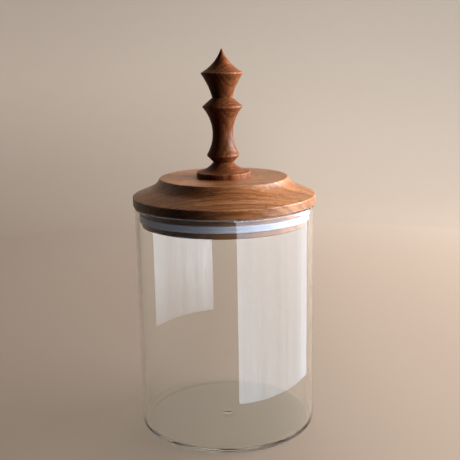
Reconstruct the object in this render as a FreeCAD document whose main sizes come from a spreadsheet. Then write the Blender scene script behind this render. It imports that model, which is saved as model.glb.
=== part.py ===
"""Herb keeper: a straight-sided glass jar closed by a turned wooden lid.

The lid is one piece of wood: a round plug that drops into the mouth of the glass, a flange that rests on
the rim, and a raised platform. A soft seal ring sits in a groove round the plug. A turned finial stands on
the platform as the knob. Its tenon is glued into the lid, and one countersunk screw from below holds it.

Every piece is turned about Z. Lengths are in millimetres, with the underside of the glass at Z = 0.
"""

import FreeCAD
import Part
import math
import os
import Sketcher

doc = FreeCAD.newDocument("HerbKeeper")
sheet = doc.addObject("Spreadsheet::Sheet", "Sizes")
FULL_TURN = 360
ZERO = 0


class Size:
    """A length in millimetres, together with the spreadsheet expression that gives it."""

    def __init__(self, value, text):
        self.value = value
        self.text = text

    def joined(self, sign, other, value):
        text = other.text if isinstance(other, Size) else str(other)
        return Size(value, f"({self.text} {sign} {text})")

    def __add__(self, other):
        return self.joined("+", other, self.value + amount(other))

    def __sub__(self, other):
        return self.joined("-", other, self.value - amount(other))

    def __mul__(self, factor):
        return self.joined("*", factor, self.value * amount(factor))

    def __truediv__(self, factor):
        return self.joined("/", factor, self.value / amount(factor))


def amount(length):
    return length.value if isinstance(length, Size) else float(length)


class SizeTable:
    """Fills the spreadsheet row by row: what the size is, and its value in a cell with an alias."""

    def __init__(self):
        self.row = 0

    def heading(self, words):
        self.row += 1
        sheet.set(f"A{self.row}", words)

    def size(self, alias, value, words):
        self.row += 1
        sheet.set(f"A{self.row}", words)
        sheet.set(f"B{self.row}", str(value))
        sheet.setAlias(f"B{self.row}", alias)
        return Size(float(value), f"Sizes.{alias}")


table = SizeTable()

table.heading("Glass jar")
glass_radius = table.size("glass_radius", 50.0, "outside radius of the glass")
glass_wall = table.size("glass_wall", 2.2, "thickness of the glass wall")
glass_height = table.size("glass_height", 128.3, "height of the glass, table to rim")
glass_base = table.size("glass_base", 2.6, "thickness of the glass base")
heel_radius = table.size("heel_radius", 3.6, "rounding of the outside heel")
corner_radius = table.size("corner_radius", 2.0, "rounding of the inside corner")
nub_radius = table.size("nub_radius", 3.4, "radius of the nub that closing the tube leaves")
nub_rise = table.size("nub_rise", 0.7, "height of that nub over the floor")
nub_blend = table.size("nub_blend", 2.0, "rounding where the nub meets the floor")

table.heading("Wooden lid")
plug_gap = table.size("plug_gap", 1.5, "gap from the plug to the glass, all round")
plug_depth = table.size("plug_depth", 10.8, "how far the plug reaches into the glass")
plug_round = table.size("plug_round", 0.8, "rounding of the plug's lower edge")
rim_gap = table.size("rim_gap", 0.15, "gap from the flange to the top of the rim")
flange_overhang = table.size("flange_overhang", 0.7, "how far the flange stands past the glass")
flange_edge = table.size("flange_edge", 4.9, "height of the flange's upright edge")
flange_round = table.size("flange_round", 0.5, "rounding of the flange's two edges")
slope_width = table.size("slope_width", 9.2, "width of the sloping ring inside the edge")
slope_rise = table.size("slope_rise", 3.8, "rise of the sloping ring")
cove_width = table.size("cove_width", 6.0, "width of the hollow moulding")
cove_rise = table.size("cove_rise", 5.8, "rise of the hollow moulding")
platform_round = table.size("platform_round", 0.5, "rounding of the platform's edge")

table.heading("Seal ring and its groove")
groove_height = table.size("groove_height", 4.0, "height of the groove")
groove_below = table.size("groove_below", 3.2, "wood left below the groove")
groove_depth = table.size("groove_depth", 2.8, "depth of the groove into the plug")
seal_slack = table.size("seal_slack", 0.08, "gap from the ring to the groove")
seal_glass_gap = table.size("seal_glass_gap", 0.3, "gap from the lips to the glass")
lip_height = table.size("lip_height", 1.25, "height of each lip")
lip_depth = table.size("lip_depth", 0.25, "how far the lips stand past the web between them")
lip_round = table.size("lip_round", 0.2, "rounding of the lips beside the web")
ring_round = table.size("ring_round", 0.45, "rounding of the ring's outer corners")

table.heading("Finial knob, with heights from the platform")
foot_radius = table.size("foot_radius", 15.0, "radius of the foot")
foot_edge = table.size("foot_edge", 2.9, "height of the foot's upright edge")
foot_sweep = table.size("foot_sweep", 13.6, "radius of the sweep from foot to neck")
neck_radius = table.size("neck_radius", 5.6, "radius of both necks")
low_neck_height = table.size("low_neck_height", 8.2, "height of the lower neck")
bead_radius = table.size("bead_radius", 9.25, "radius of the bead, before rounding")
bead_height = table.size("bead_height", 12.0, "height of the bead")
bead_round = table.size("bead_round", 1.0, "rounding of the bead")
waist_sweep = table.size("waist_sweep", 21.9, "radius of the long hollow between bead and ridge")
low_ridge_radius = table.size("low_ridge_radius", 11.25, "radius of the lower ridge, before rounding")
low_ridge_height = table.size("low_ridge_height", 38.5, "height of the lower ridge")
top_neck_height = table.size("top_neck_height", 43.3, "height of the upper neck")
cup_sweep = table.size("cup_sweep", 36.0, "radius of the hollow under the upper ridge")
top_ridge_radius = table.size("top_ridge_radius", 11.75, "radius of the upper ridge, before rounding")
top_ridge_height = table.size("top_ridge_height", 56.5, "height of the upper ridge")
tip_sweep = table.size("tip_sweep", 23.6, "radius of the hollow up to the point")
tip_height = table.size("tip_height", 69.2, "height of the point")
tip_round = table.size("tip_round", 0.5, "rounding of the point")
ridge_round = table.size("ridge_round", 0.6, "rounding of the two ridges")
foot_round = table.size("foot_round", 0.35, "rounding of the foot's upper edge")
tenon_radius = table.size("tenon_radius", 4.0, "radius of the tenon")
tenon_length = table.size("tenon_length", 8.0, "length of the tenon")
glue_gap = table.size("glue_gap", 0.1, "gap for glue round the tenon and under it")

table.heading("Screw")
screw_length = table.size("screw_length", 35.0, "length of the screw")
head_radius = table.size("head_radius", 4.0, "radius of its countersunk head")
head_rim = table.size("head_rim", 0.4, "height of the head's upright rim")
head_height = table.size("head_height", 2.5, "height of the whole head")
shank_radius = table.size("shank_radius", 1.9, "radius of the plain shank")
shank_length = table.size("shank_length", 15.0, "length of head and plain shank together")
core_radius = table.size("core_radius", 1.4, "radius of the core under the thread")
thread_radius = table.size("thread_radius", 2.0, "radius over the thread")
thread_pitch = table.size("thread_pitch", 1.8, "pitch of the thread")
point_length = table.size("point_length", 3.0, "length of the tapered point")
screw_gap = table.size("screw_gap", 0.1, "gap round the head and shank")
head_sink = table.size("head_sink", 0.3, "how far the head lies inside the plug")
pilot_radius = table.size("pilot_radius", 1.5, "radius of the pilot hole in the knob")
pilot_spare = table.size("pilot_spare", 1.0, "pilot hole left past the screw's point")
recess_arm = table.size("recess_arm", 2.1, "half length of the cross recess")
recess_width = table.size("recess_width", 0.9, "width of each arm of the cross recess")
recess_depth = table.size("recess_depth", 1.6, "depth of the cross recess")

doc.recompute()

bore_radius = glass_radius - glass_wall
plug_radius = bore_radius - plug_gap
flange_radius = glass_radius + flange_overhang
flange_top = plug_depth + flange_edge
cove_foot = flange_radius - slope_width
platform_radius = cove_foot - cove_width
platform_height = flange_top + slope_rise + cove_rise
lid_bottom = glass_height + rim_gap - plug_depth
mortise_depth = tenon_length + glue_gap
knob_bottom = lid_bottom + platform_height - tenon_length
screw_bottom = lid_bottom + head_sink


class Outline:
    """A closed outline in a body's XZ plane. Each corner's radius and height follow the spreadsheet.

    The outline is walked with the material on its left. Stretches are lines, arcs of a stated radius that
    turn left or right, or arcs that carry on smoothly from the line before them.
    """

    def __init__(self, body, name, radius, height):
        self.sketch = body.newObject("Sketcher::SketchObject", name)
        planes = body.Origin.OriginFeatures
        self.sketch.AttachmentSupport = [(next(p for p in planes if p.Role == "XZ_Plane"), "")]
        self.sketch.MapMode = "FlatFace"
        self.corners = [(radius, height)]
        self.stretches = []

    def line(self, radius, height):
        self.corners.append((radius, height))
        self.stretches.append(("line", None))

    def arc(self, radius, height, bend, turn):
        self.corners.append((radius, height))
        self.stretches.append((turn, bend))

    def smooth_arc(self, radius, height):
        self.corners.append((radius, height))
        self.stretches.append(("smooth", None))

    def point(self, index):
        radius, height = self.corners[index % len(self.corners)]
        return FreeCAD.Vector(amount(radius), amount(height), 0)

    def bound(self, kind, places, length):
        """Adds one dimension and ties it to the spreadsheet."""
        index = self.sketch.addConstraint(Sketcher.Constraint(kind, *places, amount(length)))
        self.sketch.setExpression(f"Constraints[{index}]", length.text)

    def add_stretch(self, index):
        """Draws one stretch and returns its number with the ends that start and finish it."""
        kind, bend = self.stretches[index]
        start, end = self.point(index), self.point(index + 1)
        if kind == "line":
            return self.sketch.addGeometry(Part.LineSegment(start, end), False), 1, 2
        chord = end - start
        left = FreeCAD.Vector(-chord.y, chord.x, 0).normalize()
        if kind == "smooth":
            heading = start - self.point(index - 1)
            swing = heading.getAngle(chord) * math.copysign(1, heading.cross(chord).z)
            bend_value = chord.Length / 2 / math.sin(abs(swing))
            side = math.copysign(1, swing)
        else:
            bend_value = amount(bend)
            side = 1 if kind == "left" else -1
        reach = math.sqrt(max(bend_value**2 - chord.Length**2 / 4, 0))
        centre = (start + end) / 2 + left * (side * reach)
        angles = [math.atan2((p - centre).y, (p - centre).x) for p in (start, end)]
        if side < 0:
            angles.reverse()
        circle = Part.Circle(centre, FreeCAD.Vector(0, 0, 1), bend_value)
        number = self.sketch.addGeometry(Part.ArcOfCircle(circle, *angles), False)
        return (number, 1, 2) if side > 0 else (number, 2, 1)

    def close(self):
        """Draws the outline, closes it with a line, and ties every corner and radius."""
        self.stretches.append(("line", None))
        drawn = [self.add_stretch(i) for i in range(len(self.stretches))]
        for i, (number, start, end) in enumerate(drawn):
            after, after_start, _ = drawn[(i + 1) % len(drawn)]
            follows = self.stretches[(i + 1) % len(drawn)][0] == "smooth"
            join = "Tangent" if follows else "Coincident"
            self.sketch.addConstraint(Sketcher.Constraint(join, number, end, after, after_start))
            radius, height = self.corners[i]
            for axis, kind, length in ((-2, "DistanceX", radius), (-1, "DistanceY", height)):
                if isinstance(length, Size):
                    self.bound(kind, (-1, 1, number, start), length)
                else:
                    self.sketch.addConstraint(Sketcher.Constraint("PointOnObject", number, start, axis))
            if self.stretches[i][0] in ("left", "right"):
                self.bound("Radius", (number,), self.stretches[i][1])
        return self.sketch


def new_body(label, height):
    """An empty body that carries its node's name and stands at a height in the keeper."""
    body = doc.addObject("PartDesign::Body", label)
    body.Label = label
    if isinstance(height, Size):
        body.setExpression("Placement.Base.z", height.text)
    return body


def turned(body, outline, name, kind="PartDesign::Revolution"):
    """Turns an outline about the body's axis: a Revolution adds the solid, and a Groove cuts it away."""
    before = body.Shape.Volume if body.Tip else 0.0
    sketch = outline.close()
    feature = body.newObject(kind, name)
    feature.Profile = sketch
    feature.ReferenceAxis = (sketch, ["V_Axis"])
    feature.Angle = FULL_TURN
    doc.recompute()
    after = feature.Shape.Volume
    if (after <= before) == (kind == "PartDesign::Revolution"):
        raise ValueError(f"{name} in {body.Label} went the wrong way: {before:.1f} to {after:.1f} mm3")
    return feature


def ring_edges(feature, places):
    """Names of the round edges of a feature that have one of the given radii and heights."""
    found = []
    for number, edge in enumerate(feature.Shape.Edges, 1):
        if edge.Degenerated or not isinstance(edge.Curve, Part.Circle):
            continue
        height = edge.Curve.Center.z
        for radius, level in places:
            if abs(edge.Curve.Radius - amount(radius)) < 1e-4 and abs(height - amount(level)) < 1e-4:
                found.append(f"Edge{number}")
    if len(found) < len(places):
        raise ValueError(f"{feature.Label}: {len(found)} of {len(places)} edges found")
    return found


def rounded(body, feature, name, places, radius):
    """Rounds the ring edges of a feature at the given places."""
    fillet = body.newObject("PartDesign::Fillet", name)
    fillet.Base = (feature, ring_edges(feature, places))
    fillet.Radius = amount(radius)
    fillet.setExpression("Radius", radius.text)
    doc.recompute()
    return fillet


def glass_jar():
    """Straight glass tube with a flat base, a rounded heel, a melted rim and a nub in the floor's centre."""
    body = new_body("glass_jar", ZERO)
    rim_round = glass_wall / 2
    outline = Outline(body, "JarSection", ZERO, ZERO)
    outline.line(glass_radius - heel_radius, ZERO)
    outline.arc(glass_radius, heel_radius, heel_radius, "left")
    outline.line(glass_radius, glass_height - rim_round)
    outline.arc(glass_radius - rim_round, glass_height, rim_round, "left")
    outline.arc(bore_radius, glass_height - rim_round, rim_round, "left")
    outline.line(bore_radius, glass_base + corner_radius)
    outline.arc(bore_radius - corner_radius, glass_base, corner_radius, "right")
    outline.line(nub_radius, glass_base)
    outline.arc(ZERO, glass_base + nub_rise, (nub_radius * nub_radius / nub_rise + nub_rise) / 2, "left")
    glass = turned(body, outline, "Glass")
    rounded(body, glass, "NubBlend", [(nub_radius, glass_base)], nub_blend)
    return body


def wooden_lid():
    """Plug, flange, sloping ring, hollow moulding and platform, with the groove, mortise and screw hole."""
    body = new_body("wooden_lid", lid_bottom)
    outline = Outline(body, "LidSection", ZERO, ZERO)
    outline.line(plug_radius, ZERO)
    outline.line(plug_radius, plug_depth)
    outline.line(flange_radius, plug_depth)
    outline.line(flange_radius, flange_top)
    outline.line(cove_foot, flange_top + slope_rise)
    outline.smooth_arc(platform_radius, platform_height)
    outline.line(ZERO, platform_height)
    lid = turned(body, outline, "Lid")
    edges = [(flange_radius, plug_depth), (flange_radius, flange_top)]
    lid = rounded(body, lid, "FlangeRound", edges, flange_round)
    lid = rounded(body, lid, "PlatformRound", [(platform_radius, platform_height)], platform_round)
    rounded(body, lid, "PlugRound", [(plug_radius, ZERO)], plug_round)

    groove = Outline(body, "GrooveSection", plug_radius - groove_depth, groove_below)
    groove.line(glass_radius, groove_below)
    groove.line(glass_radius, groove_below + groove_height)
    groove.line(plug_radius - groove_depth, groove_below + groove_height)
    turned(body, groove, "SealGroove", "PartDesign::Groove")

    mortise = Outline(body, "MortiseSection", ZERO, platform_height - mortise_depth)
    mortise.line(tenon_radius + glue_gap, platform_height - mortise_depth)
    mortise.line(tenon_radius + glue_gap, platform_height)
    mortise.line(ZERO, platform_height)
    turned(body, mortise, "Mortise", "PartDesign::Groove")

    hole = Outline(body, "ScrewHoleSection", ZERO, ZERO)
    hole.line(head_radius + screw_gap, ZERO)
    hole.line(head_radius + screw_gap, head_sink + head_rim)
    hole.line(shank_radius + screw_gap, head_sink + head_height)
    hole.line(shank_radius + screw_gap, platform_height - mortise_depth)
    hole.line(ZERO, platform_height - mortise_depth)
    turned(body, hole, "ScrewHole", "PartDesign::Groove")
    return body


def seal_ring():
    """Soft ring in the plug's groove, with two rounded lips that face the glass."""
    body = new_body("seal_ring", lid_bottom + groove_below + seal_slack)
    inside = plug_radius - groove_depth + seal_slack
    lip = bore_radius - seal_glass_gap
    web = lip - lip_depth
    height = groove_height - seal_slack * 2
    outline = Outline(body, "SealSection", inside, ZERO)
    outline.line(lip, ZERO)
    outline.line(lip, lip_height)
    outline.line(web, lip_height)
    outline.line(web, height - lip_height)
    outline.line(lip, height - lip_height)
    outline.line(lip, height)
    outline.line(inside, height)
    ring = turned(body, outline, "Ring")
    ring = rounded(body, ring, "RingRound", [(lip, ZERO), (lip, height)], ring_round)
    rounded(body, ring, "LipRound", [(lip, lip_height), (lip, height - lip_height)], lip_round)
    return body


def finial_knob():
    """Spindle-turned knob: foot, neck, bead, long hollow, two ridges and a point, over a hidden tenon."""
    body = new_body("finial_knob", knob_bottom)
    seat = tenon_length
    foot_top = seat + foot_edge
    bead_level = seat + bead_height
    low_ridge = seat + low_ridge_height
    top_ridge = seat + top_ridge_height
    point = seat + tip_height
    outline = Outline(body, "KnobSection", ZERO, ZERO)
    outline.line(tenon_radius, ZERO)
    outline.line(tenon_radius, seat)
    outline.line(foot_radius, seat)
    outline.line(foot_radius, foot_top)
    outline.arc(neck_radius, seat + low_neck_height, foot_sweep, "right")
    outline.line(bead_radius, bead_level)
    outline.arc(low_ridge_radius, low_ridge, waist_sweep, "right")
    outline.line(neck_radius, seat + top_neck_height)
    outline.arc(top_ridge_radius, top_ridge, cup_sweep, "right")
    outline.arc(tip_round, point - tip_round, tip_sweep, "right")
    outline.arc(ZERO, point, tip_round, "left")
    knob = turned(body, outline, "Knob")
    ridges = [(low_ridge_radius, low_ridge), (top_ridge_radius, top_ridge)]
    knob = rounded(body, knob, "RidgeRound", ridges, ridge_round)
    knob = rounded(body, knob, "FootRound", [(foot_radius, foot_top)], foot_round)
    rounded(body, knob, "BeadRound", [(bead_radius, bead_level)], bead_round)

    pilot_top = screw_bottom + screw_length + pilot_spare - knob_bottom
    pilot = Outline(body, "PilotSection", ZERO, ZERO)
    pilot.line(pilot_radius, ZERO)
    pilot.line(pilot_radius, pilot_top - pilot_radius)
    pilot.line(ZERO, pilot_top)
    turned(body, pilot, "PilotHole", "PartDesign::Groove")
    return body


def knob_screw():
    """Countersunk wood screw, head down, with a cross recess in the head and a thread that bites the knob."""
    body = new_body("knob_screw", screw_bottom)
    point_start = screw_length - point_length
    outline = Outline(body, "ScrewSection", ZERO, ZERO)
    outline.line(head_radius, ZERO)
    outline.line(head_radius, head_rim)
    outline.line(shank_radius, head_height)
    outline.line(shank_radius, shank_length)
    outline.line(core_radius, shank_length + (shank_radius - core_radius))
    outline.line(core_radius, point_start)
    outline.line(ZERO, screw_length)
    turned(body, outline, "Blank")

    root = core_radius - THREAD_ROOT_SINK
    thread_start = shank_length + thread_pitch
    tooth = Outline(body, "ThreadSection", root, thread_start - thread_pitch / 4)
    tooth.line(thread_radius, thread_start)
    tooth.line(root, thread_start + thread_pitch / 4)
    sketch = tooth.close()
    thread = body.newObject("PartDesign::AdditiveHelix", "Thread")
    thread.Profile = sketch
    thread.ReferenceAxis = (sketch, ["V_Axis"])
    thread.Mode = "pitch-height-angle"
    thread.setExpression("Pitch", thread_pitch.text)
    thread.setExpression("Height", (point_start - thread_start - thread_pitch).text)
    doc.recompute()

    cross = body.newObject("Sketcher::SketchObject", "RecessSection")
    planes = body.Origin.OriginFeatures
    cross.AttachmentSupport = [(next(p for p in planes if p.Role == "XY_Plane"), "")]
    cross.MapMode = "FlatFace"
    draw_cross(cross)
    before = thread.Shape.Volume
    recess = body.newObject("PartDesign::Pocket", "Recess")
    recess.Profile = cross
    recess.Reversed = True
    recess.setExpression("Length", recess_depth.text)
    doc.recompute()
    if recess.Shape.Volume >= before:
        raise ValueError("the cross recess cut nothing")
    return body


THREAD_ROOT_SINK = 0.15


def draw_cross(sketch):
    """Twelve lines round a cross about the axis, with every corner tied to the spreadsheet."""
    arm = recess_arm
    half = recess_width / 2
    quarter = [(half, half), (arm, half), (arm, half * -1), (half, half * -1)]
    corners = []
    for turn in range(4):
        for along, across in (quarter[3], quarter[2], quarter[1]):
            corners.append(quarter_turned(along, across, turn))
    count = len(corners)
    spots = [FreeCAD.Vector(amount(x), amount(y), 0) for x, y in corners]
    for i in range(count):
        sketch.addGeometry(Part.LineSegment(spots[i], spots[(i + 1) % count]), False)
    for i in range(count):
        sketch.addConstraint(Sketcher.Constraint("Coincident", i, 2, (i + 1) % count, 1))
        for kind, length in zip(("DistanceX", "DistanceY"), corners[i]):
            index = sketch.addConstraint(Sketcher.Constraint(kind, -1, 1, i, 1, amount(length)))
            sketch.setExpression(f"Constraints[{index}]", length.text)


def quarter_turned(x, y, turns):
    for _ in range(turns):
        x, y = y * -1, x
    return x, y


def check(bodies):
    """Stops if any object failed or any piece isn't one sound solid."""
    for thing in doc.Objects:
        if any(state in ("Invalid", "Error") for state in thing.State):
            raise ValueError(f"{thing.Name} failed: {thing.State}")
    for body in bodies:
        shape = body.Shape
        if shape.isNull() or not shape.isValid() or len(shape.Solids) != 1:
            raise ValueError(f"{body.Label} is not one sound solid")
        box = shape.optimalBoundingBox(False)
        print(f"{body.Label}: {shape.Volume:.1f} mm3, Z {box.ZMin:.2f} to {box.ZMax:.2f}")


def main():
    bodies = [glass_jar(), wooden_lid(), seal_ring(), finial_knob(), knob_screw()]
    doc.recompute()
    check(bodies)
    os.makedirs("parts", exist_ok=True)
    for body in bodies:
        body.Shape.exportStep(f"parts/{body.Label}.step")


main()
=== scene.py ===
"""Herb keeper: finishes for the jar, lid, seal, knob and screw, and a pale stage with soft window light.

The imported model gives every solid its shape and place. This script gives them their glass, wood, silicone
and steel, lays the floor and backdrop, hangs the lights and the panes that the glass mirrors, and sets the
camera.
"""

import math

import bmesh
import bpy
from bpy.props import FloatProperty, FloatVectorProperty, PointerProperty
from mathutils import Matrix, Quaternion, Vector


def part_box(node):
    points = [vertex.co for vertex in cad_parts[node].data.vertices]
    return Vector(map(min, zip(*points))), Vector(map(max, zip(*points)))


bl_info = {
    "name": "Herb Keeper",
    "version": (1, 0, 0),
    "blender": (4, 5, 0),
    "location": "View3D > Sidebar > Herb Keeper",
    "description": "Finishes and stage for a glass herb keeper with a turned wooden lid",
    "category": "Object",
}

# Lumps of noise to a metre, along X, Y and Z. In wood, X runs along the fibres.
RING_DRIFT = (6, 22, 22)
FIBRES = (70, 1100, 1100)
STREAKS = (14, 330, 330)
FIGURE = (16, 45, 45)
PORE_DASHES = (210, 1900, 1900)
EDGE_PATCHES = (420, 420, 420)
DRAW_LINES = (260, 260, 9)
MOULDED_GRAIN = (1800, 1800, 1800)
SILICONE_CLOUDS = (90, 90, 90)
STEEL_STAINS = (700, 700, 700)
PANE_FOLDS = (70, 70, 3)
LID_MARKS = 1100.0
SCREW_MARKS = 6000.0

# Most noise lies between the two values of the first span. A mask starts and is full at those of the others.
NOISE_SPAN = (0.3, 0.7)
PORE_SPAN = (0.60, 0.70)
PATCH_SPAN = (0.3, 0.6)
CLOUD_SPAN = (0.35, 0.65)
STAIN_SPAN = (0.35, 0.7)

# What the wood's noises multiply its colour by, from low to high, and what its pores do.
FIBRE_TONES = (0.78, 1.2)
STREAK_TONES = (0.82, 1.16)
FIGURE_TONES = (0.86, 1.14)
YEAR_TONES = (0.92, 1.08)
PORE_TONE = 0.32

# Shares of one year's ring, from its early wood: where late wood starts, is darkest, and starts to end.
LATE_START, LATE_FULL, LATE_END = 0.25, 0.88, 0.90
LATE_PORES = 0.45
YEARS_NOISE = 0.45
YEARS_OF_DRIFT = 2.2

# How far pores, fibres and turning marks change the wood's roughness and its height, which is a bump's share.
PORE_MATT, FIBRE_MATT = 0.25, 0.18
FIBRE_HEIGHT, MARKS_HEIGHT = 0.45, 0.35
GRAIN_BUMP, SILICONE_BUMP, STEEL_BUMP = 0.35, 0.1, 0.2
BUMP_DEPTH, STEEL_DEPTH = 0.0001, 0.00005

# Turned edges made paler, partly as rubbing wear and partly as a painted highlight: their width in metres,
# the share of it that is fully pale, and their looks.
EDGE_WIDTH = 0.0009
EDGE_CORE = 0.25
LEAST_EDGE_PALENESS = 0.55
WEAR_AND_HIGHLIGHT_TONE, WEAR_AND_HIGHLIGHT_SATURATION, RUBBED_MATT = 2.0, 0.9, -0.08

# Oil on the wood, paint on the stage, and how far silicone and steel range about their roughness.
OIL_COAT, OIL_ROUGHNESS = 0.04, 0.25
PAINT_ROUGHNESS, PAINT_SHINE = 0.85, 0.2
SILICONE_MATT = (-0.06, 0.08)
STEEL_MATT = (-0.05, 0.12)

# Shares of their colour that the duller spots of silicone and steel keep.
DULL_SILICONE = 0.93
DULL_STEEL = 0.8

# Share of a pane's radius, to each side, up to which it is fully bright.
PANE_MIDDLE = 0.2

# Film of the camera in millimetres, and the nearest that it sees in metres.
FILM_WIDTH = 36
NEAREST = 0.01

# Steps round or along the sheets of the stage, and how near two corners are one.
ROUND_STEPS = 96
PANE_STEPS = 24
SWEEP_STEPS = 16
SAME_SPOT = 1e-5

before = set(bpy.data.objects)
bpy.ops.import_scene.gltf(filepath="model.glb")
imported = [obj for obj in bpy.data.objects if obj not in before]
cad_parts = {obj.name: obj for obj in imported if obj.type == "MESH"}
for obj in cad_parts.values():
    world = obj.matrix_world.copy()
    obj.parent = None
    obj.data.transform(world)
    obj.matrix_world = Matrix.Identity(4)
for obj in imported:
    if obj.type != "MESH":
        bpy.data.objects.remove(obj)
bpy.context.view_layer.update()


def colour(name, default, description):
    """A colour that the sidebar shows as a swatch."""
    return FloatVectorProperty(
        name=name, description=description, default=default, subtype="COLOR", size=3, min=0, max=1
    )


def length(name, default, description):
    """A length in metres."""
    return FloatProperty(name=name, description=description, default=default, unit="LENGTH", precision=4)


def share(name, default, description):
    """A value from none to all."""
    return FloatProperty(
        name=name, description=description, default=default, subtype="FACTOR", min=0, max=1
    )


def amount(name, default, description):
    """A plain number."""
    return FloatProperty(name=name, description=description, default=default)


def angle(name, degrees, description):
    """An angle, whose default is given in degrees."""
    return FloatProperty(
        name=name, description=description, default=math.radians(degrees), subtype="ANGLE"
    )


class GlassLook(bpy.types.PropertyGroup):
    """The clear tube glass of the jar."""

    tint: colour("Tint", (0.985, 0.995, 0.99), "What is left of white light after the wall")
    bending: amount("Index of refraction", 1.47, "How much the glass bends light")
    draw_lines: share("Draw lines", 0.05, "Depth of the faint upright lines from drawing the tube")
    matt_rim: length("Matt rim", 0.0008, "Height of the band that use has made matt, at the top of the rim")
    matt_fade: share("Matt fade", 0.6, "Share of that band from which it is fully matt")
    matt_roughness: share("Rim roughness", 0.5, "How matt that band is")
    shadow_tint: colour("Shadow tint", (0.93, 0.94, 0.935), "What is left of a lamp's light behind the glass")


class LidLook(bpy.types.PropertyGroup):
    """The mid-brown wood of the lid, whose grain lies flat."""

    pale: colour("Pale wood", (0.370, 0.155, 0.059), "Early wood of each ring")
    middle: colour("Middle wood", (0.329, 0.132, 0.048), "Wood in the middle of each ring")
    dark: colour("Dark wood", (0.272, 0.105, 0.037), "Late wood of each ring")
    ring_spacing: length("Ring spacing", 0.0042, "Width of one ring")
    ring_wander: length("Ring wander", 0.006, "How far the rings wander from round")
    pith_depth: length("Pith depth", 0.16, "Height of the tree's centre below the platform, in the board")
    pith_side: length("Pith side", 0.20, "Distance of the tree's centre behind the lid, in the board")
    grain_start: length("Grain start", 0.013, "Place along the board from which the lid was cut")
    grain_turn: angle("Grain turn", -5, "Turn of the grain about the upright axis, from left to right")
    pores: share("Pores", 0.75, "How dark the open pores are")
    roughness: share("Roughness", 0.33, "How matt the oiled surface is")
    shine: share("Shine", 0.85, "How much light the oiled surface mirrors")
    # Edge wear: how much the turned edges are made paler, partly as rubbing wear and partly as a painted
    # highlight.
    edge_wear: share("Edge wear", 0.3, "How much the edges of the turning are rubbed pale")
    platform_radius: length("Platform radius", 0.0355, "Radius of the platform's edge")
    flange_top: length("Flange top", 0.0096, "Depth of the flange's upper edge below the platform")
    flange_foot: length("Flange foot", 0.0145, "Depth of the flange's lower edge below the platform")


class KnobLook(bpy.types.PropertyGroup):
    """The darker wood of the knob, whose grain runs upright."""

    pale: colour("Pale wood", (0.230, 0.084, 0.033), "Early wood of each ring")
    middle: colour("Middle wood", (0.198, 0.069, 0.027), "Wood in the middle of each ring")
    dark: colour("Dark wood", (0.150, 0.049, 0.019), "Late wood of each ring")
    ring_spacing: length("Ring spacing", 0.0026, "Width of one ring")
    ring_wander: length("Ring wander", 0.002, "How far the rings wander from round")
    pith_side: length("Pith side", 0.112, "Distance of the tree's centre from the knob's axis, along Y")
    pith_depth: length("Pith depth", 0.084, "Distance of the tree's centre from the knob's axis, along X")
    pores: share("Pores", 0.7, "How dark the open pores are")
    roughness: share("Roughness", 0.38, "How matt the oiled surface is")
    shine: share("Shine", 0.15, "How much light the oiled surface mirrors")
    # Edge wear: how much the ridges are made paler, partly as rubbing wear and partly as a painted highlight.
    edge_wear: share("Edge wear", 0.5, "How much the ridges are rubbed pale")
    foot_radius: length("Foot radius", 0.0150, "Radius of the foot")
    foot_top: length("Foot top", 0.0029, "Height of the foot's upper edge over the lid")
    bead_radius: length("Bead radius", 0.0090, "Radius of the bead")
    bead_height: length("Bead height", 0.0120, "Height of the bead over the lid")
    low_ridge_radius: length("Lower ridge radius", 0.0110, "Radius of the lower ridge")
    low_ridge_height: length("Lower ridge height", 0.0385, "Height of the lower ridge over the lid")
    top_ridge_radius: length("Upper ridge radius", 0.0114, "Radius of the upper ridge")
    top_ridge_height: length("Upper ridge height", 0.0565, "Height of the upper ridge over the lid")


class SealLook(bpy.types.PropertyGroup):
    """The milky silicone of the seal ring."""

    body: colour("Silicone", (0.455, 0.445, 0.52), "Colour of the silicone")
    milkiness: share("Milkiness", 0.6, "Share of the light that goes into the silicone")
    depth: length("Light depth", 0.002, "How far light goes into the silicone")
    roughness: share("Roughness", 0.42, "How matt the silicone is")


class ScrewLook(bpy.types.PropertyGroup):
    """The bright steel of the screw."""

    steel: colour("Steel", (0.60, 0.60, 0.61), "Colour of the steel")
    roughness: share("Roughness", 0.28, "How dull the steel is")


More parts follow.
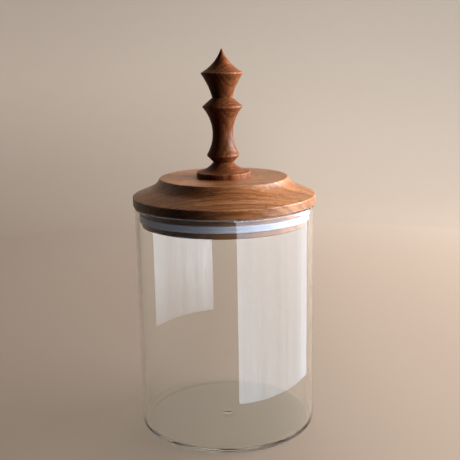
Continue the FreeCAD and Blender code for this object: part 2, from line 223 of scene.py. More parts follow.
class StageLook(bpy.types.PropertyGroup):
    """Floor, backdrop, lights and camera."""

    floor: colour("Floor", (0.364, 0.280, 0.216), "Colour of the floor")
    wall: colour("Backdrop", (0.26, 0.213, 0.173), "Colour of the backdrop")
    wall_start: length("Backdrop start", 0.28, "Distance from the jar where that colour starts to come in")
    floor_drop: length("Floor drop", 0.0002, "Gap that keeps the floor clear of the glass")
    floor_reach: length("Floor reach", 0.56, "Distance from the jar to where the floor starts to rise")
    sweep_radius: length("Sweep radius", 0.45, "Radius of the sweep from the floor to the backdrop")
    wall_height: length("Backdrop height", 1.3, "Height of the backdrop")
    # Painted shade on floor and backdrop: low down they are darker on the left than on the right, and this
    # fades out higher up.
    left_tone: amount("Left tone", 0.72, "How pale floor and backdrop are low on the left, of their colour")
    right_tone: amount("Right tone", 0.96, "How pale they are low on the right, of their colour")
    tone_start: length("Tone start", -0.07, "Place across the stage up to which the left tone holds")
    tone_end: length("Tone end", 0.13, "Place across the stage from which the right tone holds")
    tone_height: length("Tone height", 0.2, "Height on the backdrop at which both tones have faded")
    # Painted shade in reflections: the room gloom darkens the stage's paint and glow in front of the jar, for
    # mirrored rays only.
    room_gloom: share("Room gloom", 0.75, "How much darker the front of the room is in mirrored light")
    gloom_full: length("Gloom full", -0.25, "Place in front of the jar, along Y, up to which it is that dark")
    gloom_end: length("Gloom end", -0.08, "Place in front of the jar, along Y, from which it isn't darker")
    # Painted shade: the stage's colour is darker close to the window light, which tones down its bright pool
    # there.
    lamp_shade: share("Lamp shade", 0.3, "How pale the stage is close to the window light, of its colour")
    shade_start: length("Lamp shade start", 0.392, "Place to the right of the jar where that shade starts")
    shade_end: length("Lamp shade end", 0.785, "Place to the right of the jar where that shade is full")
    glow: colour("Backdrop glow", (1.0, 0.90, 0.79), "Colour of the backdrop's own light")
    wall_glow: amount("Backdrop light", 0.13, "Strength of that light behind the jar")
    glow_reach: length("Glow reach", 0.5, "Distance to each side over which it grows from none to double")
    sky: amount("Room light", 0.014, "Light of the room from above and all round")
    room: colour("Room colour", (1.0, 0.95, 0.88), "Colour of that light")
    daylight: colour("Daylight", (0.94, 0.965, 1.0), "Colour of the three soft lights")
    aim_height: length("Aim height", 0.11, "Height of the spot on the jar's axis that these lights face")
    window_power: amount("Window light", 90.0, "Power of the large soft light on the right")
    window_width: length("Window width", 1.8, "Width of that light")
    window_rise: length("Window rise", 0.9, "Height of that light from sill to top")
    window_distance: length("Window distance", 1.5, "Distance of that light from the jar")
    window_height: angle("Window height", 14, "Angle of that light over the floor")
    window_turn: angle("Window turn", 92, "Angle of that light round the jar, from the front to the right")
    back_power: amount("Back light", 15.0, "Power of the soft light from behind and above")
    back_width: length("Back light width", 1.0, "Width of that light")
    back_rise: length("Back light rise", 1.0, "Height of that light")
    back_distance: length("Back light distance", 1.4, "Distance of that light from the jar")
    back_height: angle("Back light height", 38, "Angle of that light over the floor")
    back_turn: angle("Back light turn", 172, "Angle of that light round the jar")
    fill_power: amount("Fill light", 2.2, "Power of the soft light that only the seal ring gets")
    fill_width: length("Fill light width", 0.6, "Width of that light")
    fill_rise: length("Fill light rise", 0.6, "Height of that light")
    fill_distance: length("Fill light distance", 1.0, "Distance of that light from the jar")
    fill_height: angle("Fill light height", 5, "Angle of that light over the floor")
    fill_turn: angle("Fill light turn", 8, "Angle of that light round the jar")
    pane_gap: length("Pane distance", 0.06, "Distance from the glass to the panes that it mirrors")
    pane_light: colour("Pane light", (0.72, 0.84, 1.0), "Colour of the panes")
    pane_fade: share("Pane fade", 0.5, "How much darker the panes get towards the jar's sides")
    pane_folds: share("Pane folds", 0.15, "How much paler or darker the folds in the panes are")
    foot_height: length("Pane foot height", 0.032, "Height over which a pane's light fades to its foot")
    right_light: amount("Right pane light", 7.0, "Brightness of the pane on the right")
    right_foot: share("Right pane foot", 1.0, "Share of that light left at its lower edge")
    right_start: angle("Right pane start", 11, "Turn of its near edge round the jar")
    right_end: angle("Right pane end", 103, "Turn of its far edge round the jar")
    right_sill: length("Right pane sill", 0.0018, "Height of its lower edge")
    right_slope: amount("Right pane slope", 0.0, "Rise of its lower edge towards the camera")
    right_top: length("Right pane top", 0.1105, "Height of its upper edge, carried on to the jar's axis")
    right_top_slope: amount("Right pane top slope", 0.06, "Rise of its upper edge towards the camera")
    left_light: amount("Left pane light", 7.1, "Brightness of the pane on the left")
    left_foot: share("Left pane foot", 0.5, "Share of that light left at its lower edge")
    left_start: angle("Left pane start", -81, "Turn of its far edge round the jar")
    left_end: angle("Left pane end", -12, "Turn of its near edge round the jar")
    left_sill: length("Left pane sill", 0.0386, "Height of its lower edge, carried on to the jar's axis")
    left_slope: amount("Left pane slope", 0.22, "Rise of its lower edge towards the camera")
    left_top: length("Left pane top", 0.1030, "Height of its upper edge, carried on to the jar's axis")
    left_top_slope: amount("Left pane top slope", 0.016, "Rise of its upper edge towards the camera")
    rim_light: amount("Rim pane light", 20.0, "Brightness of the sky that the rim mirrors")
    rim_foot: share("Rim pane foot", 1.0, "Share of that light left at its lower edge")
    rim_start: angle("Rim pane start", 11, "Turn of its near edge round the jar")
    rim_end: angle("Rim pane end", 110, "Turn of its far edge round the jar")
    rim_sill: length("Rim pane sill", 0.1105, "Height of its lower edge, carried on to the jar's axis")
    rim_slope: amount("Rim pane slope", 0.06, "Rise of its lower edge towards the camera")
    rim_top: length("Rim pane top", 0.22, "Height of its upper edge")
    rim_top_slope: amount("Rim pane top slope", 0.0, "Rise of its upper edge towards the camera")
    lens: FloatProperty(name="Lens", description="Focal length in millimetres on a 36 mm film", default=62.86)
    camera_distance: length("Camera distance", 0.442, "Distance of the camera in front of the jar's axis")
    camera_height: length("Camera height", 0.2106, "Height of the camera over the floor")
    camera_tilt: angle("Camera tilt", 12.53, "How far the camera looks down")
    camera_pan: angle("Camera pan", 0.38, "How far the camera looks to the right")
    camera_roll: angle("Camera roll", 1.0, "How far the camera leans clockwise")


LOOKS = {
    "glass": GlassLook,
    "lid": LidLook,
    "knob": KnobLook,
    "seal": SealLook,
    "screw": ScrewLook,
    "stage": StageLook,
}


class KeeperLooks(bpy.types.PropertyGroup):
    """Every look of the keeper, as the scene holds it."""

    glass: PointerProperty(type=GlassLook)
    lid: PointerProperty(type=LidLook)
    knob: PointerProperty(type=KnobLook)
    seal: PointerProperty(type=SealLook)
    screw: PointerProperty(type=ScrewLook)
    stage: PointerProperty(type=StageLook)


def looks(context):
    return context.scene.herb_keeper


class Nodes:
    """Adds nodes to a tree, sets or links their inputs by name, and lays them out from left to right."""

    def __init__(self, tree):
        self.tree = tree
        self.count = 0

    def add(self, kind, inputs=None, **settings):
        node = self.tree.nodes.new(kind)
        node.location = (220 * (self.count // 4), -260 * (self.count % 4))
        self.count += 1
        for name, value in settings.items():
            setattr(node, name, value)
        for name, value in (inputs or {}).items():
            self.give(node.inputs[name], value)
        return node

    def give(self, socket, value):
        """Links a socket to another, or sets its value."""
        if isinstance(value, bpy.types.NodeSocket):
            self.tree.links.new(value, socket)
        else:
            socket.default_value = value

    def math(self, operation, *values):
        return self.add("ShaderNodeMath", dict(enumerate(values)), operation=operation).outputs[0]

    def vector(self, operation, *values, output="Vector"):
        node = self.add("ShaderNodeVectorMath", dict(enumerate(values)), operation=operation)
        return node.outputs[output]

    def scaled(self, vector, factors):
        """A vector whose parts are multiplied by three factors."""
        return self.vector("MULTIPLY", vector, factors)

    def parts(self, vector):
        """The X, Y and Z of a vector."""
        return self.add("ShaderNodeSeparateXYZ", {0: vector}).outputs

    def length(self, vector):
        return self.vector("LENGTH", vector, output="Value")

    def radius(self, point):
        """The distance of a point from the upright axis."""
        return self.length(self.scaled(point, (1, 1, 0)))

    def noise(self, vector, detail=2.0):
        """Soft noise, about one lump to a unit of the vector, as a value."""
        return self.add("ShaderNodeTexNoise", {"Vector": vector, "Scale": 1.0, "Detail": detail}).outputs[0]

    def remap(self, value, low, high, to_low=0.0, to_high=1.0, smooth=False):
        kind = "SMOOTHSTEP" if smooth else "LINEAR"
        names = ("Value", "From Min", "From Max", "To Min", "To Max")
        inputs = dict(zip(names, (value, low, high, to_low, to_high)))
        return self.add("ShaderNodeMapRange", inputs, interpolation_type=kind).outputs[0]

    def mix(self, factor, first, second):
        """A colour between two colours."""
        return self.add("ShaderNodeMix", {0: factor, 6: first, 7: second}, data_type="RGBA").outputs[2]

    def bump(self, height, strength, depth=BUMP_DEPTH):
        inputs = {"Height": height, "Strength": strength, "Distance": depth}
        return self.add("ShaderNodeBump", inputs).outputs[0]


def new_group(name, inputs, outputs):
    """An empty shader node group with named sockets, and its input and output nodes."""
    group = bpy.data.node_groups.new(name, "ShaderNodeTree")
    for label, kind, default in inputs:
        socket = group.interface.new_socket(label, in_out="INPUT", socket_type=f"NodeSocket{kind}")
        socket.default_value = default
    for label, kind in outputs:
        group.interface.new_socket(label, in_out="OUTPUT", socket_type=f"NodeSocket{kind}")
    nodes = Nodes(group)
    return group, nodes, nodes.add("NodeGroupInput").outputs


def built_once(build):
    """Names a node group after the function that builds it, which runs only on the first call."""
    name = build.__name__.replace("_", " ").capitalize()

    def group():
        return bpy.data.node_groups.get(name) or build(name)

    return group


@built_once
def turned_wood(name):
    """Solid wood whose fibres run along X: rings round the tree's centre, fibres, figure and open pores."""
    group, nodes, given = new_group(
        name,
        [
            ("Point", "Vector", (0, 0, 0)),
            ("Pale", "Color", (0.4, 0.2, 0.1, 1)),
            ("Middle", "Color", (0.3, 0.14, 0.06, 1)),
            ("Dark", "Color", (0.16, 0.07, 0.03, 1)),
            ("Ring Spacing", "Float", 0.004),
            ("Ring Wander", "Float", 0.01),
            ("Pores", "Float", 0.7),
            ("Roughness", "Float", 0.4),
        ],
        [("Color", "Color"), ("Roughness", "Float"), ("Height", "Float")],
    )
    point = given["Point"]

    drift = nodes.add("ShaderNodeTexNoise", {"Vector": nodes.scaled(point, RING_DRIFT), "Scale": 1.0})
    centred = nodes.vector("SUBTRACT", drift.outputs["Color"], (0.5, 0.5, 0.5))
    wander = nodes.add(
        "ShaderNodeVectorMath", {0: centred, "Scale": given["Ring Wander"]}, operation="SCALE"
    ).outputs[0]
    bent = nodes.vector("ADD", point, wander)
    years = nodes.math("DIVIDE", nodes.length(nodes.scaled(bent, (0, 1, 1))), given["Ring Spacing"])
    uneven = nodes.add(
        "ShaderNodeTexNoise", {"W": years, "Scale": YEARS_NOISE, "Detail": 1.0}, noise_dimensions="1D"
    ).outputs[0]
    years = nodes.math("MULTIPLY_ADD", uneven, YEARS_OF_DRIFT, years)
    season = nodes.math("FRACT", years)
    late = nodes.math(
        "MULTIPLY",
        nodes.remap(season, LATE_START, LATE_FULL, smooth=True),
        nodes.remap(season, LATE_END, 1.0, 1.0, 0.0, smooth=True),
    )
    year = nodes.add(
        "ShaderNodeTexWhiteNoise", {"W": nodes.math("FLOOR", years)}, noise_dimensions="1D"
    ).outputs["Value"]

    fibre = nodes.noise(nodes.scaled(point, FIBRES), detail=3.0)
    tone = nodes.math(
        "MULTIPLY",
        nodes.remap(fibre, *NOISE_SPAN, *FIBRE_TONES),
        nodes.remap(nodes.noise(nodes.scaled(point, STREAKS)), *NOISE_SPAN, *STREAK_TONES),
    )
    figure = nodes.noise(nodes.scaled(point, FIGURE))
    tone = nodes.math("MULTIPLY", tone, nodes.remap(figure, *NOISE_SPAN, *FIGURE_TONES))
    tone = nodes.math("MULTIPLY", tone, nodes.remap(year, 0.0, 1.0, *YEAR_TONES))

    dash = nodes.noise(nodes.scaled(point, PORE_DASHES), detail=0.0)
    pore = nodes.remap(dash, *PORE_SPAN, smooth=True)
    pore = nodes.math("MULTIPLY", pore, nodes.remap(late, 0.0, 1.0, 1.0, LATE_PORES))
    pore = nodes.math("MULTIPLY", pore, given["Pores"])

    ring = nodes.mix(nodes.remap(late, 0.0, 0.5), given["Pale"], given["Middle"])
    ring = nodes.mix(nodes.remap(late, 0.5, 1.0), ring, given["Dark"])
    shaded = nodes.add("ShaderNodeHueSaturation", {"Color": ring, "Value": tone}).outputs[0]
    hollow = nodes.add("ShaderNodeHueSaturation", {"Color": shaded, "Value": PORE_TONE}).outputs[0]
    finished = nodes.mix(pore, shaded, hollow)

    matt = nodes.math("MULTIPLY_ADD", pore, PORE_MATT, given["Roughness"])
    matt = nodes.math("MULTIPLY_ADD", nodes.math("SUBTRACT", fibre, 0.5), FIBRE_MATT, matt)
    height = nodes.math("SUBTRACT", nodes.math("MULTIPLY", fibre, FIBRE_HEIGHT), pore)
    nodes.add("NodeGroupOutput", {"Color": finished, "Roughness": matt, "Height": height})
    return group


@built_once
def lathe_marks(name):
    """Fine rings that the gouge and the sandpaper leave round the upright axis."""
    group, nodes, given = new_group(
        name,
        [("Point", "Vector", (0, 0, 0)), ("Per Metre", "Float", LID_MARKS)],
        [("Height", "Float")],
    )
    across = nodes.math("MULTIPLY", nodes.radius(given["Point"]), given["Per Metre"])
    upward = nodes.math("MULTIPLY", nodes.parts(given["Point"])["Z"], given["Per Metre"])
    place = nodes.add("ShaderNodeCombineXYZ", {"X": across, "Y": upward}).outputs[0]
    nodes.add("NodeGroupOutput", {"Height": nodes.noise(place, detail=1.0)})
    return group


@built_once
def rubbed_ring(name):
    """An uneven mask round one turned edge, at a radius and a level, that fades out over a width. It marks
    where the edge is paler, partly from rubbing wear and partly as a painted highlight.
    """
    group, nodes, given = new_group(
        name,
        [
            ("Point", "Vector", (0, 0, 0)),
            ("Radius", "Float", 0.01),
            ("Level", "Float", 0.0),
            ("Width", "Float", EDGE_WIDTH),
        ],
        [("Mask", "Float")],
    )
    across = nodes.math("SUBTRACT", nodes.radius(given["Point"]), given["Radius"])
    upward = nodes.math("SUBTRACT", nodes.parts(given["Point"])["Z"], given["Level"])
    away = nodes.add("ShaderNodeCombineXYZ", {"X": across, "Y": upward}).outputs[0]
    ratio = nodes.math("DIVIDE", nodes.length(away), given["Width"])
    near = nodes.remap(ratio, EDGE_CORE, 1.0, 1.0, 0.0, smooth=True)
    patches = nodes.noise(nodes.scaled(given["Point"], EDGE_PATCHES))
    uneven = nodes.remap(patches, *PATCH_SPAN, LEAST_EDGE_PALENESS, 1.0)
    nodes.add("NodeGroupOutput", {"Mask": nodes.math("MULTIPLY", near, uneven)})
    return group


def new_material(name):
    """A material with an empty node tree, and the helper that fills it."""
    material = bpy.data.materials.new(name)
    material.use_nodes = True
    material.node_tree.nodes.clear()
    return material, Nodes(material.node_tree)


def dress(node_name, material):
    """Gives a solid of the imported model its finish."""
    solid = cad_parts[node_name]
    for slot in solid.material_slots:
        slot.material = material


def wood_material(name, look, turn, shift, edges):
    """Oiled wood, made paler at turned edges given as (radius, level), partly as rubbing wear and partly as a
    painted highlight.

    The solid's own coordinates are turned so that the fibres run along X, and then shifted to its place in
    the tree.
    """
    material, nodes = new_material(name)
    place = nodes.add("ShaderNodeTexCoord").outputs["Object"]
    timber = nodes.add(
        "ShaderNodeMapping", {"Vector": place, "Location": shift, "Rotation": turn}, vector_type="POINT"
    ).outputs[0]
    values = {
        "Point": timber,
        "Pale": (*look.pale, 1),
        "Middle": (*look.middle, 1),
        "Dark": (*look.dark, 1),
        "Ring Spacing": look.ring_spacing,
        "Ring Wander": look.ring_wander,
        "Pores": look.pores,
        "Roughness": look.roughness,
    }
    wood = nodes.add("ShaderNodeGroup", values, node_tree=turned_wood()).outputs
    marks = nodes.add("ShaderNodeGroup", {"Point": place}, node_tree=lathe_marks()).outputs["Height"]
    # Where the edges are paler: partly rubbing wear, partly a painted highlight along them.
    wear_and_highlight = 0.0
    for radius, level in edges:
        values = {"Point": place, "Radius": radius, "Level": level, "Width": EDGE_WIDTH}
        ring = nodes.add("ShaderNodeGroup", values, node_tree=rubbed_ring())
        wear_and_highlight = nodes.math("MAXIMUM", wear_and_highlight, ring.outputs["Mask"])
    wear_and_highlight = nodes.math("MULTIPLY", wear_and_highlight, look.edge_wear)
    # The paler, less saturated wood of those edges: partly rubbing wear, partly a painted highlight.
    rubbed = nodes.add(
        "ShaderNodeHueSaturation",
        {"Color": wood["Color"], "Value": WEAR_AND_HIGHLIGHT_TONE, "Saturation": WEAR_AND_HIGHLIGHT_SATURATION},
    ).outputs[0]
    height = nodes.math("MULTIPLY_ADD", marks, MARKS_HEIGHT, wood["Height"])
    shader = nodes.add(
        "ShaderNodeBsdfPrincipled",
        {
            "Base Color": nodes.mix(wear_and_highlight, wood["Color"], rubbed),
            "Roughness": nodes.math("MULTIPLY_ADD", wear_and_highlight, RUBBED_MATT, wood["Roughness"]),
            "Normal": nodes.bump(height, GRAIN_BUMP),
            "Specular IOR Level": look.shine,
            "Coat Weight": OIL_COAT,
            "Coat Roughness": OIL_ROUGHNESS,
        },
    )
    nodes.add("ShaderNodeOutputMaterial", {"Surface": shader.outputs[0]})
    return material


class HERBKEEPER_OT_finish_jar(bpy.types.Operator):
    """Gives the jar clear glass that lets lamps through and has faint upright draw lines"""

    bl_idname = "herb_keeper.finish_jar"
    bl_label = "Finish the jar"

    def execute(self, context):
        look = looks(context).glass
        material, nodes = new_material("Clear tube glass")
        place = nodes.add("ShaderNodeTexCoord").outputs["Object"]
        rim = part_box("glass_jar")[1].z
        level = nodes.parts(place)["Z"]
        full = rim - look.matt_rim * look.matt_fade
        matt = nodes.remap(level, rim - look.matt_rim, full, smooth=True)
        glass = nodes.add(
            "ShaderNodeBsdfPrincipled",
            {
                "Base Color": (*look.tint, 1),
                "Roughness": nodes.math("MULTIPLY", matt, look.matt_roughness),
                "IOR": look.bending,
                "Transmission Weight": 1.0,
                "Normal": nodes.bump(nodes.noise(nodes.scaled(place, DRAW_LINES)), look.draw_lines),
            },
        )
        clear = nodes.add("ShaderNodeBsdfTransparent", {"Color": (*look.shadow_tint, 1)})
        ray = nodes.add("ShaderNodeLightPath").outputs["Is Shadow Ray"]
        both = nodes.add("ShaderNodeMixShader", {0: ray, 1: glass.outputs[0], 2: clear.outputs[0]})
        nodes.add("ShaderNodeOutputMaterial", {"Surface": both.outputs[0]})
        dress("glass_jar", material)
        return {"FINISHED"}


class HERBKEEPER_OT_finish_lid(bpy.types.Operator):
    """Gives the lid oiled wood whose grain lies flat across it"""

    bl_idname = "herb_keeper.finish_lid"
    bl_label = "Finish the lid"

    def execute(self, context):
        look = looks(context).lid
        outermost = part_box("wooden_lid")[1]
        shift = (look.grain_start, look.pith_side, look.pith_depth - outermost.z)
        turn = (0, 0, look.grain_turn)
        edges = [
            (look.platform_radius, outermost.z),
            (outermost.x, outermost.z - look.flange_top),
            (outermost.x, outermost.z - look.flange_foot),
        ]
        dress("wooden_lid", wood_material("Oiled lid wood", look, turn, shift, edges))
        return {"FINISHED"}


class HERBKEEPER_OT_finish_knob(bpy.types.Operator):
    """Gives the knob darker oiled wood whose grain runs upright"""

    bl_idname = "herb_keeper.finish_knob"
    bl_label = "Finish the knob"

    def execute(self, context):
        look = looks(context).knob
        turn = (0, math.radians(90), 0)
        shift = (0, look.pith_side, look.pith_depth)
        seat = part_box("wooden_lid")[1].z
        edges = [
            (look.foot_radius, seat + look.foot_top),
            (look.bead_radius, seat + look.bead_height),
            (look.low_ridge_radius, seat + look.low_ridge_height),
            (look.top_ridge_radius, seat + look.top_ridge_height),
        ]
        dress("finial_knob", wood_material("Oiled knob wood", look, turn, shift, edges))
        return {"FINISHED"}


class HERBKEEPER_OT_finish_seal(bpy.types.Operator):
    """Gives the seal ring milky silicone with a fine moulded surface"""

    bl_idname = "herb_keeper.finish_seal"
    bl_label = "Finish the seal ring"

    def execute(self, context):
        look = looks(context).seal
        material, nodes = new_material("Milky silicone")
        place = nodes.add("ShaderNodeTexCoord").outputs["Object"]
        grain = nodes.noise(nodes.scaled(place, MOULDED_GRAIN))
        cloud = nodes.noise(nodes.scaled(place, SILICONE_CLOUDS))
        dull = tuple(DULL_SILICONE * part for part in look.body)
        matt = (look.roughness + change for change in SILICONE_MATT)
        shader = nodes.add(
            "ShaderNodeBsdfPrincipled",
            {
                "Base Color": nodes.mix(nodes.remap(cloud, *CLOUD_SPAN), (*look.body, 1), (*dull, 1)),
                "Roughness": nodes.remap(grain, *NOISE_SPAN, *matt),
                "Normal": nodes.bump(grain, SILICONE_BUMP),
                "Subsurface Weight": look.milkiness,
                "Subsurface Radius": (1.0, 1.0, 1.0),
                "Subsurface Scale": look.depth,
            },
        )
        nodes.add("ShaderNodeOutputMaterial", {"Surface": shader.outputs[0]})
        dress("seal_ring", material)
        return {"FINISHED"}


class HERBKEEPER_OT_finish_screw(bpy.types.Operator):
    """Gives the screw bright steel with the fine rings of its turning"""

    bl_idname = "herb_keeper.finish_screw"
    bl_label = "Finish the screw"

    def execute(self, context):
        look = looks(context).screw
        material, nodes = new_material("Bright screw steel")
        place = nodes.add("ShaderNodeTexCoord").outputs["Object"]
        values = {"Point": place, "Per Metre": SCREW_MARKS}
        rings = nodes.add("ShaderNodeGroup", values, node_tree=lathe_marks()).outputs["Height"]
        stain = nodes.noise(nodes.scaled(place, STEEL_STAINS), detail=3.0)
        dull = tuple(DULL_STEEL * part for part in look.steel)
        matt = (look.roughness + change for change in STEEL_MATT)
        shader = nodes.add(
            "ShaderNodeBsdfPrincipled",
            {
                "Base Color": nodes.mix(nodes.remap(stain, *STAIN_SPAN), (*look.steel, 1), (*dull, 1)),
                "Metallic": 1.0,
                "Roughness": nodes.remap(rings, *NOISE_SPAN, *matt),
                "Normal": nodes.bump(rings, STEEL_BUMP, STEEL_DEPTH),
            },
        )
        nodes.add("ShaderNodeOutputMaterial", {"Surface": shader.outputs[0]})
        dress("knob_screw", material)
        return {"FINISHED"}


def stage_object(name, mesh):
    """Puts a mesh of the stage into the scene."""
    thing = bpy.data.objects.new(name, mesh)
    bpy.context.scene.collection.objects.link(thing)
    return thing


def spun_sheet(name, points, start, sweep, steps):
    """A smooth sheet made by turning a line of (radius, height) points about the upright axis."""
    shape = bmesh.new()
    spots = [shape.verts.new((radius, 0, height)) for radius, height in points]
    edges = [shape.edges.new(pair) for pair in zip(spots, spots[1:])]
    bmesh.ops.rotate(shape, cent=(0, 0, 0), matrix=Quaternion((0, 0, 1), start).to_matrix(), verts=spots)
    bmesh.ops.spin(
        shape,
        geom=spots + edges,
        cent=(0, 0, 0),
        axis=(0, 0, 1),
        angle=sweep,
        steps=steps,
        use_merge=sweep == math.tau,
    )
    bmesh.ops.remove_doubles(shape, verts=shape.verts, dist=SAME_SPOT)
    for face in shape.faces:
        face.smooth = True
    mesh = bpy.data.meshes.new(name)
    shape.to_mesh(mesh)
    shape.free()
    return mesh


def paint_material(look):
    """Matt pale paint, with painted shade: darker low on the left than low on the right, and darker close to
    the window light.

    The backdrop has a soft light of its own that grows to the right. In the mirrors of the jar, painted shade
    makes the room in front of it darker than what lies behind.
    """
    material, nodes = new_material("Pale matt paint")
    place = nodes.add("ShaderNodeTexCoord").outputs["Object"]
    parts = nodes.parts(place)
    side = parts["X"]
    wall_end = look.floor_reach + look.sweep_radius
    outward = nodes.remap(nodes.radius(place), look.wall_start, wall_end, smooth=True)
    paint = nodes.mix(outward, (*look.floor, 1), (*look.wall, 1))

    # Painted shade: darker low on the left than low on the right, fading out up the backdrop.
    ends = (look.tone_start, look.tone_end, look.left_tone, look.right_tone)
    low = nodes.remap(side, *ends, smooth=True)
    fade = nodes.remap(parts["Z"], 0.0, look.tone_height, smooth=True)
    tone = nodes.math("ADD", nodes.math("MULTIPLY", low, nodes.math("SUBTRACT", 1.0, fade)), fade)

    # Painted shade for mirrored rays: in front of the jar, what glossy rays see of the stage is darker.
    path = nodes.add("ShaderNodeLightPath").outputs
    through = nodes.math("SUBTRACT", 1.0, path["Is Transmission Ray"])
    mirrored = nodes.math("MULTIPLY", path["Is Glossy Ray"], through)
    gloom = nodes.remap(parts["Y"], look.gloom_full, look.gloom_end, look.room_gloom, 0.0, smooth=True)
    kept = nodes.math("SUBTRACT", 1.0, nodes.math("MULTIPLY", gloom, mirrored))
    # Painted shade close to the window light, which tones down its bright pool on the stage.
    painted_lamp_shade = nodes.remap(side, look.shade_start, look.shade_end, 1.0, look.lamp_shade)
    tone = nodes.math("MULTIPLY", nodes.math("MULTIPLY", tone, kept), painted_lamp_shade)

    rightward = nodes.remap(side, -look.glow_reach, look.glow_reach, 0.0, 2.0, smooth=True)
    glow = nodes.math("MULTIPLY", outward, rightward)
    glow = nodes.math("MULTIPLY", nodes.math("MULTIPLY", glow, kept), look.wall_glow)
    shader = nodes.add(
        "ShaderNodeBsdfPrincipled",
        {
            "Base Color": nodes.add("ShaderNodeHueSaturation", {"Color": paint, "Value": tone}).outputs[0],
            "Roughness": PAINT_ROUGHNESS,
            "Specular IOR Level": PAINT_SHINE,
            "Emission Color": (*look.glow, 1),
            "Emission Strength": glow,
        },
    )
    nodes.add("ShaderNodeOutputMaterial", {"Surface": shader.outputs[0]})
    return material


def pane_material(name, look, radius, sill, slope, brightness, foot):
    """Cool white light with faint upright folds, as a curtained window gives in a mirror.

    It fades towards the jar's sides, and towards the pane's lower edge to the share that its foot keeps.
    """
    material, nodes = new_material(name)
    place = nodes.add("ShaderNodeTexCoord").outputs["Object"]
    folds = nodes.noise(nodes.scaled(place, PANE_FOLDS))
    dim, bright = brightness * (1 - look.pane_folds), brightness * (1 + look.pane_folds)
    strength = nodes.remap(folds, *NOISE_SPAN, dim, bright)
    parts = nodes.parts(place)
    side = nodes.math("ABSOLUTE", parts["X"])
    fade = nodes.remap(side, PANE_MIDDLE * radius, radius, 1.0, 1.0 - look.pane_fade)
    level = nodes.math("MULTIPLY_ADD", parts["Y"], slope, parts["Z"])
    low = nodes.remap(level, sill, sill + look.foot_height, foot, 1.0)
    strength = nodes.math("MULTIPLY", strength, nodes.math("MULTIPLY", fade, low))
    light = nodes.add("ShaderNodeEmission", {"Color": (*look.pane_light, 1), "Strength": strength})
    nodes.add("ShaderNodeOutputMaterial", {"Surface": light.outputs[0]})
    return material


def mirrored_pane(name, look):
    """A curved bright sheet in front of the jar that shows only where something mirrors it.

    The look's values that start with its name say how it turns round the jar and where its edges are. Its
    lower and upper edges are cut on planes that rise towards the camera by a slope.
    """
    start, end, sill, slope, top, top_slope, brightness, foot = (
        getattr(look, f"{name}_{value}")
        for value in ("start", "end", "sill", "slope", "top", "top_slope", "light", "foot")
    )
    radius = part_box("glass_jar")[1].x + look.pane_gap
    uncut = [(radius, 0.0), (radius, 2.0 * top)]
    mesh = spun_sheet(f"{name}_pane", uncut, start - math.radians(90), end - start, PANE_STEPS)
    shape = bmesh.new()
    shape.from_mesh(mesh)
    for level, normal in ((sill, (0, -slope, -1)), (top, (0, top_slope, 1))):
        bmesh.ops.bisect_plane(
            shape,
            geom=shape.verts[:] + shape.edges[:] + shape.faces[:],
            plane_co=(0, 0, level),
            plane_no=normal,
            clear_outer=True,
        )
    shape.to_mesh(mesh)
    shape.free()
    light = pane_material(f"{name.capitalize()} pane", look, radius, sill, slope, brightness, foot)
    mesh.materials.append(light)
    pane = stage_object(f"{name}_pane", mesh)
    pane.visible_camera = False
    pane.visible_diffuse = False
    pane.visible_transmission = False
    pane.visible_shadow = False
    return pane


def light_group(name, *node_names):
    """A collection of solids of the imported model, for saying which ones a light reaches."""
    group = bpy.data.collections.new(name)
    for node_name in node_names:
        group.objects.link(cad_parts[node_name])
    return group


def soft_lamp(name, look):
    """A large lamp that faces the jar from an angle over the floor and an angle round the jar.

    The look's values that start with its name say how bright and large it is, and where.
    """
    power, width, rise, distance, height, turn = (
        getattr(look, f"{name}_{value}")
        for value in ("power", "width", "rise", "distance", "height", "turn")
    )
    light = bpy.data.lights.new(name, "AREA")
    light.shape = "RECTANGLE"
    light.energy = power
    light.size = width
    light.size_y = rise
    light.color = look.daylight
    lamp = bpy.data.objects.new(name, light)
    bpy.context.scene.collection.objects.link(lamp)
    flat = math.cos(height)
    away = Vector((math.sin(turn) * flat, -math.cos(turn) * flat, math.sin(height)))
    lamp.location = Vector((0, 0, look.aim_height)) + away * distance
    lamp.rotation_euler = away.to_track_quat("Z", "Y").to_euler()
    lamp.visible_camera = False
    lamp.visible_transmission = False
    return lamp


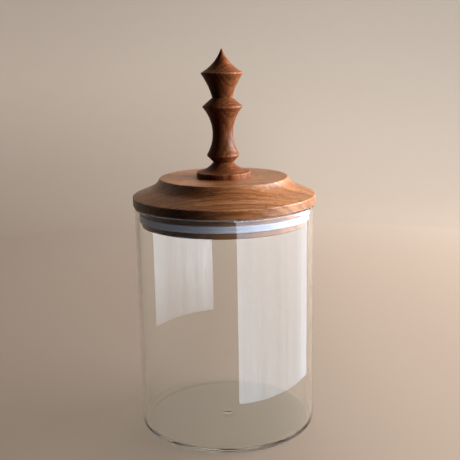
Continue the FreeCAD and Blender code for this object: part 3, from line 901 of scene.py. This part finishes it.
class HERBKEEPER_OT_set_stage(bpy.types.Operator):
    """Lays the pale floor and backdrop, and sets the lights, the mirrored panes and the camera"""

    bl_idname = "herb_keeper.set_stage"
    bl_label = "Set the stage"

    def execute(self, context):
        look = looks(context).stage
        scene = context.scene
        self.lay_floor(look)
        self.hang_lights(scene, look)
        self.set_camera(scene, look)
        scene.view_settings.view_transform = "Standard"
        scene.view_settings.look = "Medium High Contrast"
        scene.cycles.caustics_reflective = False
        scene.cycles.caustics_refractive = False
        scene.cycles.glossy_bounces = 12
        scene.cycles.max_bounces = 24
        scene.cycles.sampling_pattern = "TABULATED_SOBOL"
        return {"FINISHED"}

    def lay_floor(self, look):
        """A round floor, and a backdrop that sweeps up from it all round. Neither throws light on the jar.

        The backdrop lets the lamps that hang outside it shine in.
        """
        reach, bend, drop = look.floor_reach, look.sweep_radius, -look.floor_drop
        rise = [(reach, drop)]
        for step in range(1, SWEEP_STEPS + 1):
            turn = math.radians(90) * step / SWEEP_STEPS
            rise.append((reach + bend * math.sin(turn), drop + bend * (1 - math.cos(turn))))
        rise.append((reach + bend, look.wall_height))
        paint = paint_material(look)
        for name, line in (("floor", [(0, drop), (reach, drop)]), ("backdrop", rise)):
            mesh = spun_sheet(name, line, 0, math.tau, ROUND_STEPS)
            mesh.materials.append(paint)
            sheet = stage_object(name, mesh)
            sheet.visible_diffuse = False
            sheet.visible_shadow = (name == "floor")

    def hang_lights(self, scene, look):
        """A large soft window on the right, a back light, a faint room, and the panes that the glass mirrors.

        The window doesn't light the glass itself, and the fill light reaches only the seal ring.
        """
        world = bpy.data.worlds.new("Room")
        world.use_nodes = True
        room = world.node_tree.nodes["Background"]
        room.inputs["Color"].default_value = (*look.room, 1)
        room.inputs["Strength"].default_value = look.sky
        scene.world = world

        window = soft_lamp("window", look)
        back = soft_lamp("back", look)
        back.visible_glossy = False
        all_but_glass = light_group("Not in the window's light", "glass_jar")
        all_but_glass.collection_objects[0].light_linking.link_state = "EXCLUDE"
        window.light_linking.receiver_collection = all_but_glass
        soft_lamp("fill", look).light_linking.receiver_collection = light_group("Filled", "seal_ring")

        mirrors = light_group("Mirrors the panes", "glass_jar", "seal_ring")
        for name in ("right", "left", "rim"):
            mirrored_pane(name, look).light_linking.receiver_collection = mirrors

    def set_camera(self, scene, look):
        tilt, pan = look.camera_tilt, look.camera_pan
        ahead = Vector(
            (math.sin(pan) * math.cos(tilt), math.cos(pan) * math.cos(tilt), -math.sin(tilt))
        )
        lens = bpy.data.cameras.new("camera")
        lens.lens = look.lens
        lens.sensor_width = FILM_WIDTH
        lens.sensor_fit = "HORIZONTAL"
        lens.clip_start = NEAREST
        camera = bpy.data.objects.new("camera", lens)
        camera.location = (0, -look.camera_distance, look.camera_height)
        lean = Quaternion((0, 0, 1), -look.camera_roll)
        camera.rotation_euler = (ahead.to_track_quat("-Z", "Y") @ lean).to_euler()
        scene.collection.objects.link(camera)
        scene.camera = camera


STEPS = (
    HERBKEEPER_OT_set_stage,
    HERBKEEPER_OT_finish_jar,
    HERBKEEPER_OT_finish_lid,
    HERBKEEPER_OT_finish_seal,
    HERBKEEPER_OT_finish_knob,
    HERBKEEPER_OT_finish_screw,
)


class HERBKEEPER_PT_panel(bpy.types.Panel):
    """Lists the keeper's looks and the steps that apply them"""

    bl_label = "Herb Keeper"
    bl_idname = "HERBKEEPER_PT_panel"
    bl_space_type = "VIEW_3D"
    bl_region_type = "UI"
    bl_category = "Herb Keeper"

    def draw(self, context):
        for step in STEPS:
            self.layout.operator(step.bl_idname)
        for name, kind in LOOKS.items():
            box = self.layout.box()
            box.label(text=name.capitalize())
            for value in kind.__annotations__:
                box.prop(getattr(looks(context), name), value)


CLASSES = (*LOOKS.values(), KeeperLooks, *STEPS, HERBKEEPER_PT_panel)


def register():
    for kind in CLASSES:
        bpy.utils.register_class(kind)
    bpy.types.Scene.herb_keeper = PointerProperty(type=KeeperLooks)


def unregister():
    del bpy.types.Scene.herb_keeper
    for kind in reversed(CLASSES):
        bpy.utils.unregister_class(kind)


def main():
    register()
    for step in STEPS:
        group, name = step.bl_idname.split(".")
        getattr(getattr(bpy.ops, group), name)()


if __name__ == "__main__":
    main()
